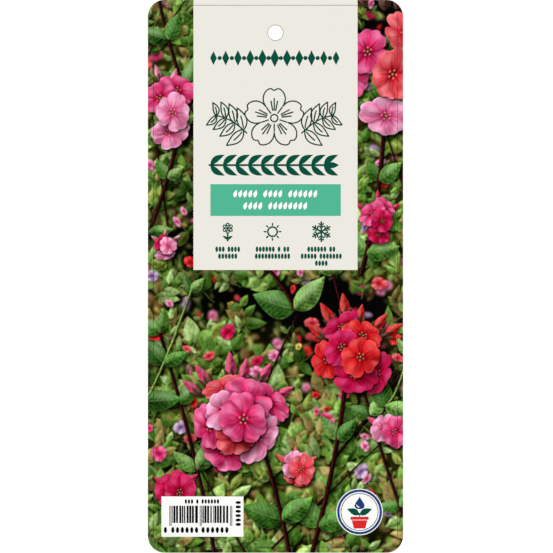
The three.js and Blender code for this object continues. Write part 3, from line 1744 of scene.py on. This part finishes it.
@dataclass
class LozengeRow:
    """A row of upright lozenges with small dots between them."""

    middle: Point = (-0.3, 87.2)
    count: int = 11
    pitch: float = 4.9
    tall: float = 7.2
    wide: float = 3.5
    shrink: float = 0.045
    dot: float = 0.85

    def build(self) -> None:
        """Lay the row out by a loop, with the tallest lozenge in the middle."""
        x, y = self.middle
        shapes = []
        for number in range(self.count):
            away = number - (self.count - 1) / 2
            size = 1 - self.shrink * abs(away)
            across, up = self.wide / 2 * size, self.tall / 2 * size
            at = x + away * self.pitch
            corners = [(at + across, y), (at, y + up), (at - across, y), (at, y - up)]
            shapes.append(Shape(np.array(corners)))
            if number:
                shapes.append(disc((at - self.pitch / 2, y), self.dot, 20))
        printed("lozenge_row", shapes, Ink.DEEP_GREEN)


@dataclass
class SprigDrawing:
    """A pen drawing of one open blossom between two leafy stems.

    A petal's vein has its angle from the petal's axis, and where it starts and ends, as shares
    of the petal's length.
    """

    centre: Point = (-0.5, 63.2)
    reach: float = 12.8
    petal: float = 12.2
    eye: float = 1.7
    pen: float = 0.54
    pairs: tuple[float, ...] = (0.1, 0.38, 0.66, 0.94)
    veins: tuple[tuple[float, float, float], ...] = (
        *((36, 0.2, 0.43), (-11, 0.26, 0.56), (0, 0.26, 0.64), (11, 0.26, 0.56)),
    )

    def _lobe(self, angle: float) -> Array:
        """One notched petal's edge as a pen path.

        Formula: at d degrees from the petal's axis the radius is its length times 0.44 + 0.56
        times the cosine of 2.5 d to the power 0.5, less a small bell-shaped notch.

        Args:
            angle: Direction of the petal's axis.

        Returns:
            The path's points.
        """
        d = np.radians(np.linspace(-35.9, 35.9, 61))
        share = 0.44 + 0.56 * np.cos(2.5 * d) ** 0.5 - 0.09 * bell(d, 0.09)
        turn = d + math.radians(angle)
        return self.centre + self.petal * (share * [np.cos(turn), np.sin(turn)]).T

    def _stem(self, side: int) -> list[Array]:
        """One arching stem with leaf pairs, as pen paths.

        Formula: the stem is x = 11 + reach t, y = -6 + 13 t - 6 t squared, mirrored by side.

        Args:
            side: 1 to the right and -1 to the left.

        Returns:
            The paths.
        """
        t = np.linspace(0, 1, 30)
        x, y = 11.0 + self.reach * t, -6.0 + 13.0 * t - 6.0 * t**2
        stem = np.stack([side * x, y], 1) + self.centre
        paths = [stem]
        for share in self.pairs:
            base = np.array([np.interp(share, t, stem[:, 0]), np.interp(share, t, stem[:, 1])])
            length = 9.6 - 4.4 * share
            for up in (1, -1):
                tip = base + length * toward(58 * up + 16) * (side, 1)
                left, right, rib = blade(base, tip, length * 0.42, 0.5 * up * side)
                paths += [left, right, rib[2:12]]
        return paths

    def build(self) -> None:
        """Draw the petals, their veins, the blossom's middle and both stems."""
        paths = []
        for angle in range(90, 450, 72):
            paths.append(self._lobe(angle))
            for aside, near, far in self.veins:
                near, far = near * self.petal, far * self.petal
                paths.append(ray(self.centre, angle + aside, near, far, 5))
        paths += self._stem(1) + self._stem(-1)
        shapes = [stroke(path, self.pen) for path in paths]
        shapes.append(disc(self.centre, self.eye, width=self.pen))
        printed("sprig_drawing", shapes, Ink.LINE_GREEN, step=0.0003)


@dataclass
class LeafGarland:
    """A bold row of leaf pairs along a straight stem."""

    left: float = -26.4
    right: float = 25.0
    middle: float = 44.4
    half_height: float = 4.1
    pairs: int = 10
    stem: float = 0.8
    leaf: float = 2.4

    def build(self) -> None:
        """Lay the leaves out by a loop, all leaning the same way."""
        y = self.middle
        pitch = (self.right - self.left - 1.0) / self.pairs
        shapes = [stroke(np.linspace((self.left, y), (self.right - 2.0, y), 12), self.stem)]
        for number in range(self.pairs):
            x = self.left + 0.4 + pitch * number
            for up in (1, -1):
                tip = x + 1.15 * pitch, y + up * self.half_height
                shapes.append(solid_blade((x, y), tip, self.leaf, 0.7 * up))
        shapes.append(solid_blade((self.right - 4.6, y), (self.right + 0.4, y), self.leaf))
        printed("leaf_garland", shapes, Ink.DEEP_GREEN, step=0.0004)


@dataclass
class MintBand:
    """The mint band with two rows of small white leaves in groups."""

    low: Point = (-26.0, 24.1)
    high: Point = (26.1, 36.8)
    rows: tuple[tuple[float, tuple[int, ...]], ...] = ((33.0, (5, 4, 6)), (28.2, (4, 8)))
    pitch: float = 2.0
    wide: float = 1.5
    tall: float = 3.1
    slant: float = 0.45
    bow: float = 0.12

    def build(self) -> None:
        """Make the band and its leaves."""
        printed("mint_band", [Shape(bar(self.low, self.high))], Ink.MINT)
        middle = (self.low[0] + self.high[0]) / 2
        shapes = []
        for y, groups in self.rows:
            for x in row_places(middle, groups, self.pitch, self.pitch):
                base, tip = (x - self.slant, y - self.tall / 2), (x + self.slant, y + self.tall / 2)
                shapes.append(solid_blade(base, tip, self.wide, self.bow))
        printed("band_leaves", shapes, Ink.WHITE, level=2)


@dataclass
class Pictograms:
    """Three small signs for a flower, the sun and frost, with rows of beads below each.

    The rays and the arms have their two ends' distances from the middle. The stalk has its
    points' depths below the flower's middle. A branch of frost has its start along the arm and
    its length.
    """

    height: float = 17.8
    places: tuple[float, float, float] = (-19.1, -1.2, 18.3)
    pen: float = 0.66
    flower_lift: float = 1.4
    heart: float = 0.62
    petal_ring: float = 1.45
    petal: float = 0.78
    stalk: tuple[float, ...] = (2.2, 3.2, 4.4, 5.0)
    sun: float = 2.2
    rays: Point = (2.65, 3.3)
    arms: Point = (0.3, 3.9)
    branches: tuple[Point, ...] = ((1.6, 1.25), (2.6, 1.1))
    fork: float = 55
    bead: Point = (1.08, 2.2)
    bead_pitch: float = 1.3
    bead_rows: tuple[float, ...] = (10.8, 8.0, 5.2)
    bead_groups: tuple[tuple[tuple[int, ...], ...], ...] = (
        ((3, 4), (6,)),
        ((6, 1, 2), (11,)),
        ((6, 2), (5, 7), (4,)),
    )

    def _flower(self) -> list[Shape]:
        """Draw a six-petalled head on a stem with two leaves.

        Returns:
            The sign's shapes.
        """
        x, y = self.places[0], self.height + self.flower_lift
        shapes = [disc((x, y), self.heart, 24)]
        for angle in range(30, 390, 60):
            place = (x, y) + self.petal_ring * toward(angle)
            shapes.append(disc(place, self.petal, 24, self.pen * 0.7))
        stem = np.array([(x, y - drop) for drop in self.stalk])
        shapes.append(stroke(stem, self.pen))
        for side in (1, -1):
            shapes.append(solid_blade((x, y - 4.6), (x + side * 2.1, y - 3.1), 1.0, 0.2 * side))
        return shapes

    def _sun(self) -> list[Shape]:
        """Draw a ring with eight short rays.

        Returns:
            The sign's shapes.
        """
        centre = self.places[1], self.height
        rays = [ray(centre, angle, *self.rays, 4) for angle in range(0, 360, 45)]
        shapes = [disc(centre, self.sun, width=self.pen)]
        return shapes + [stroke(path, self.pen * 0.9) for path in rays]

    def _frost(self) -> list[Shape]:
        """Draw six arms, each with two pairs of side branches.

        Returns:
            The sign's shapes.
        """
        centre = self.places[2], self.height
        shapes = []
        for angle in range(90, 450, 60):
            shapes.append(stroke(ray(centre, angle, *self.arms, 6), self.pen))
            for reach, length in self.branches:
                for turn in (self.fork, -self.fork):
                    path = ray(centre + reach * toward(angle), angle + turn, 0, length, 4)
                    shapes.append(stroke(path, self.pen * 0.85))
        return shapes

    def _beads(self) -> list[Shape]:
        """Lay rows of beads in groups, centred below each sign.

        Returns:
            The beads.
        """
        shapes = []
        for x, rows in zip(self.places, self.bead_groups):
            for y, groups in zip(self.bead_rows, rows):
                shapes += beads((x, y), groups, self.bead, self.bead_pitch)
        return shapes

    def build(self) -> None:
        """Print the three signs and the rows of beads below them."""
        printed("flower_sign", self._flower(), Ink.DEEP_GREEN, step=0.0004)
        printed("sun_sign", self._sun(), Ink.DEEP_GREEN)
        printed("frost_sign", self._frost(), Ink.DEEP_GREEN, step=0.0004)
        printed("sign_beads", self._beads(), Ink.DEEP_GREEN)


@dataclass
class BarBox:
    """A white box with upright bars of chance widths, which stand for no number.

    Each row of beads has its middle, its groups, a bead's size, its pitch and whether it is
    upright.
    """

    low: Point = (-45.6, -104.1)
    high: Point = (-12.8, -88.0)
    bars_left: float = -42.4
    bars_top: float = -91.7
    bars_bottom: float = -98.6
    module: float = 0.264
    modules: int = 95
    guards: tuple[int, ...] = (0, 2, 46, 48, 92, 94)
    margin: int = 4
    middle: tuple[int, int] = (44, 50)
    bar_widths: tuple[int, ...] = (1, 2, 2, 3, 3, 4)
    gap_widths: tuple[int, ...] = (1, 1, 1, 2, 2)
    guard_drop: float = 1.2
    gain: float = 0.03
    seed: int = 11
    bead_rows: tuple[tuple[Point, tuple[int, ...], Point, float, bool], ...] = (
        ((-29.4, -90.0), (3, 1, 6), (0.88, 1.85), 1.22, False),
        ((-36.3, -101.4), (6,), (1.28, 2.4), 1.9, False),
        ((-24.2, -101.4), (6,), (1.28, 2.4), 1.9, False),
        ((-44.0, -101.4), (1,), (1.28, 2.4), 1.9, False),
        ((-14.9, -94.8), (6,), (2.2, 1.18), 1.75, True),
    )

    def _bars(self) -> list[Shape]:
        """Lay bars and gaps by seeded chance, with longer pairs at both ends and in the middle.

        Returns:
            The bars.
        """
        chance = np.random.default_rng(self.seed)
        runs = [(at, 1, self.guard_drop) for at in self.guards]
        at, end = self.margin, self.modules - self.margin
        while at < end:
            width = int(chance.choice(self.bar_widths))
            if self.middle[0] <= at + width and at < self.middle[1]:
                at = self.middle[1]
                continue
            if at + width > end:
                break
            runs.append((at, width, 0.0))
            at += width + int(chance.choice(self.gap_widths))
        shapes = []
        for start, width, drop in runs:
            x = self.bars_left + start * self.module
            high = x + width * self.module + self.gain, self.bars_top
            shapes.append(Shape(bar((x, self.bars_bottom - drop), high)))
        return shapes

    def build(self) -> None:
        """Print the box, its bars and the rows of beads round them."""
        printed("bar_box", [Shape(bar(self.low, self.high))], Ink.WHITE)
        marks = self._bars()
        for row in self.bead_rows:
            marks += beads(*row)
        printed("bar_marks", marks, Ink.BLACK, level=2)


@dataclass
class CareBadge:
    """A round white badge with a drop of water above a potted seedling.

    A ring has its distance inside the badge's edge and its width. The drop has its length, its
    width and its lift above the centre. The pot's and the shine's places, the leaves' tips and
    the seedling's depths are measured from the centre.
    """

    centre: Point = (33.6, -94.2)
    radius: float = 9.3
    rings: tuple[Point, ...] = ((0.35, 0.95), (1.75, 0.3))
    drop: tuple[float, float, float] = (5.2, 4.0, 3.7)
    pot: tuple[Point, ...] = ((-2.3, -6.6), (2.3, -6.6), (3.1, -3.3), (-3.1, -3.3))
    pot_rim: tuple[Point, Point] = ((-3.6, -3.1), (3.6, -1.9))
    shine_place: Point = (-0.1, 3.0)
    shine_arc: tuple[float, float, float] = (1.1, 195, 265)
    shine_pen: float = 0.35
    sprout: tuple[float, ...] = (1.7, 1.2, 0.6)
    sprout_pen: float = 0.4
    leaf_depth: float = 1.1
    leaf_tip: Point = (5.0, 1.2)
    leaf_width: float = 2.5
    leaf_bow: float = 0.2

    def _drop(self) -> Shape:
        """A water drop.

        Formula: x = width / 2 times sin a times (1 + cos a) / 1.3 and y = length / 2 times
        -cos a, for a from 0 to 360 degrees, above the badge's centre by the lift.

        Returns:
            The drop.
        """
        length, width, lift = self.drop
        a = np.radians(np.arange(0, 360, 5))
        x, y = width / 2 * np.sin(a) * (1 + np.cos(a)) / 1.3, -length / 2 * np.cos(a)
        return Shape(np.stack([x, y + lift], 1) + self.centre)

    def build(self) -> None:
        """Print the disc, its rings, the drop, the pot and the seedling."""
        x, y = self.centre
        printed("badge_disc", [disc(self.centre, self.radius, ROUND_STEPS)], Ink.WHITE)
        blue = [disc(self.centre, self.radius - inset, ROUND_STEPS, w) for inset, w in self.rings]
        printed("badge_drop", [*blue, self._drop()], Ink.NAVY, level=2)
        shine = arc(np.add(self.centre, self.shine_place), *self.shine_arc, 8)
        printed("badge_shine", [stroke(shine, self.shine_pen)], Ink.WHITE, level=3)
        pot = [Shape(np.array(outline) + self.centre) for outline in (self.pot, bar(*self.pot_rim))]
        printed("badge_pot", pot, Ink.RED, level=2)
        stalk = np.array([(x, y - drop) for drop in self.sprout])
        seedling = [stroke(stalk, self.sprout_pen)]
        for side in (1, -1):
            tip = x + self.leaf_tip[0] * side, y + self.leaf_tip[1]
            bow = self.leaf_bow * side
            seedling.append(solid_blade((x, y - self.leaf_depth), tip, self.leaf_width, bow))
        printed("badge_leaves", seedling, Ink.DEEP_GREEN, level=2, step=0.0004)


# The picture's films


@dataclass
class PictureFilms:
    """The picture's thin films, which carry the painted colours on a fine grid.

    Two strips beside the panel have the full height of the card, and two films lie below it.
    """

    step: float = 0.25
    split: float = -0.25
    map_strip: float = 0.01

    def build(self, canvas: Canvas) -> None:
        """Make all films.

        Args:
            canvas: The finished painting.
        """
        top = CARD.height / 2
        self._film("picture_left", top, None, PANEL.left, canvas)
        self._film("picture_right", top, PANEL.right, None, canvas)
        self._film("picture_low_left", PANEL.bottom, PANEL.left, self.split, canvas)
        self._film("picture_low_right", PANEL.bottom, self.split, PANEL.right, canvas)

    def _grid(self, high: float, left: float | None, right: float | None) -> tuple[Array, Array]:
        """A film's grid of points.

        Formula: row heights follow the card's corners, and each row is divided evenly between
        the film's two sides at that height.

        Args:
            high: Its top.
            left: Its left side, or None for the cut edge.
            right: Its right side, or None for the cut edge.

        Returns:
            Two arrays of rows by columns, across and up.
        """
        rows = CARD.row_heights(high, self.step)
        edge = CARD.half_width(rows)
        start = -edge if left is None else np.full(len(rows), left)
        wide = (edge if right is None else right) - start
        share = np.linspace(0, 1, math.ceil(np.max(wide) / self.step) + 1)
        return start[:, None] + wide[:, None] * share, rows[:, None] + 0 * share

    def _film(
        self, name: str, high: float, left: float | None, right: float | None, canvas: Canvas
    ) -> None:
        """Make one closed film with its colours and its own map.

        Formula: the top is the grid at the face's height, its rim is carried down by the
        film's thickness, and one face closes the underside.

        Args:
            name: Name of the film.
            high: Its top.
            left: Its left side.
            right: Its right side.
            canvas: The finished painting.
        """
        across, up = self._grid(high, left, right)
        index = np.arange(across.size).reshape(across.shape)
        quads = np.stack([index[:-1, :-1], index[:-1, 1:], index[1:, 1:], index[1:, :-1]], -1)
        rim = np.concatenate([index[0, :-1], index[:-1, -1], index[-1, :0:-1], index[:0:-1, 0]])
        below = index.size + np.arange(len(rim))
        walls = np.stack([below, np.roll(below, -1), np.roll(rim, -1), rim], 1)
        flat = np.stack([across.ravel(), up.ravel()], 1)
        flat = np.concatenate([flat, flat[rim]])
        height = np.full(len(flat), CARD.face)
        height[index.size :] -= CARD.film
        corners = np.concatenate([quads.ravel(), walls.ravel(), below[::-1]])
        starts = np.arange(quads.size // 4 + len(walls) + 1) * 4
        mesh = bpy.data.meshes.new(name)
        mesh.vertices.add(len(flat))
        mesh.vertices.foreach_set("co", np.column_stack([flat, height]).ravel() * METRES)
        mesh.loops.add(len(corners))
        mesh.loops.foreach_set("vertex_index", corners.astype(np.int32))
        mesh.polygons.add(len(starts))
        mesh.polygons.foreach_set("loop_start", starts.astype(np.int32))
        mesh.update(calc_edges=True)
        mesh.shade_flat()
        colours = np.ones((len(flat), 4), np.float32)
        colours[:, :3] = linear(canvas.at(flat[:, 0], flat[:, 1]))
        mesh.color_attributes.new(INK, "FLOAT_COLOR", "POINT")
        mesh.color_attributes[INK].data.foreach_set("color", colours.ravel())
        self._map(mesh, flat[corners], quads.size)
        dressed(mesh, Ink.PICTURE)

    def _map(self, mesh: bpy.types.Mesh, corners: Array, top: int) -> None:
        """Lay the film out flat on its own map.

        Formula: the top fills the map above one hundredth of its height, in proportion, and
        the rim and the underside share most of the strip below.

        Args:
            mesh: The film's mesh.
            corners: Place of every face corner on the card.
            top: How many of the corners belong to the top.
        """
        low = corners.min(axis=0)
        unit = (corners - low) / (corners.max(axis=0) - low)
        unit[:top, 1] = self.map_strip + (1 - self.map_strip) * unit[:top, 1]
        unit[top:, 1] *= 0.8 * self.map_strip
        layer = mesh.uv_layers.new(name="OFBake")
        layer.uv.foreach_set("vector", unit.astype(np.float32).ravel())


# The studio


@dataclass
class Studio:
    """A pale floor, soft light from all round and a camera that looks straight down.

    The camera stands a little to the right of the label's middle and a little below it. The
    floor, the lamps and the camera's clip are in metres; the floor's gap, the lens, the sensor
    and the camera's step aside are in millimetres.
    """

    floor_half: float = 4.0
    floor_gap: float = 0.05
    lens: float = 135.0
    sensor: float = 36.0
    clip: tuple[float, float] = (0.01, 20.0)
    lamps: int = 4
    lamp_distance: float = 1.05
    lamp_size: float = 0.5
    lamp_power: float = 8.6
    lamp_height: float = 1.22
    ambient: float = 0.05
    backdrop: float = 1.0
    floor_tone: float = 0.6
    floor_glow: float = 0.75
    aside: Point = (0.4, -0.1)

    def _floor(self) -> None:
        """A large pale square on the surface that the label lies on, lit a little from below."""
        half, low = self.floor_half, -self.floor_gap * METRES
        mesh = bpy.data.meshes.new("floor")
        corners = [(x, y, low) for x, y in bar((-half, -half), (half, half))]
        mesh.from_pydata(corners, [], [(0, 1, 2, 3)])
        floor = linked("floor", mesh)
        paper = bpy.data.materials.new("white paper")
        paper.use_nodes = True
        feeds = {
            "Base Color": (*linear([self.floor_tone] * 3), 1.0),
            "Roughness": 0.9,
            "Specular IOR Level": 0.2,
            "Emission Color": WHITE,
            "Emission Strength": self.floor_glow,
        }
        fed(paper.node_tree, paper.node_tree.nodes["Principled BSDF"], feeds)
        mesh.materials.append(paper)

    def _lamps(self) -> None:
        """Broad lamps round the label, turned to its middle."""
        for number in range(self.lamps):
            data = bpy.data.lights.new(f"lamp_{number}", "AREA")
            data.shape = "DISK"
            data.size = self.lamp_size
            data.energy = self.lamp_power
            lamp = linked(data.name, data)
            lamp.location = (*self.lamp_distance * toward(90 * number), self.lamp_height)
            lamp.rotation_mode = "QUATERNION"
            lamp.rotation_quaternion = (-lamp.location).to_track_quat("-Z", "Y")

    def _world(self) -> None:
        """Low even light, with a white backdrop where only the camera sees it."""
        world = bpy.data.worlds.new("studio")
        world.use_nodes = True
        tree = world.node_tree
        feeds = {"Color": WHITE, "Strength": self.ambient}
        dim = fed(tree, tree.nodes["Background"], feeds).outputs[0]
        feeds = {"Color": WHITE, "Strength": self.backdrop}
        white = add_node(tree, "Background", feeds).outputs[0]
        seen = add_node(tree, "LightPath", {}).outputs["Is Camera Ray"]
        choice = add_node(tree, "MixShader", {"Fac": seen, 1: dim, 2: white})
        fed(tree, tree.nodes["World Output"], {"Surface": choice.outputs[0]})
        bpy.context.scene.world = world

    def _camera(self) -> None:
        """A long lens straight above, whose square frame is as wide as the card is high."""
        data = bpy.data.cameras.new("camera")
        data.lens = self.lens
        data.sensor_width = self.sensor
        data.clip_start, data.clip_end = self.clip
        camera = linked("camera", data)
        reach = CARD.height * METRES * self.lens / self.sensor
        across, up = self.aside
        camera.location = (across * METRES, up * METRES, CARD.face * METRES + reach)
        bpy.context.scene.camera = camera

    def build(self) -> None:
        """Set up the camera, the light and the floor, with plain screen colours."""
        self._camera()
        self._world()
        self._lamps()
        self._floor()
        view = bpy.context.scene.view_settings
        view.view_transform = "Standard"
        view.look = "None"


def main() -> None:
    """Build the studio, the sheet, its print and the painted picture."""
    logging.basicConfig(level=logging.INFO, format="%(name)s: %(message)s")
    Studio().build()
    Sheet().build()
    for part in (
        CreamPanel(),
        HairlineFrame(),
        LozengeRow(),
        SprigDrawing(),
        LeafGarland(),
        MintBand(),
        Pictograms(),
        BarBox(),
        CareBadge(),
    ):
        part.build()
    PictureFilms().build(Garden().painted())


if __name__ == "__main__":
    main()
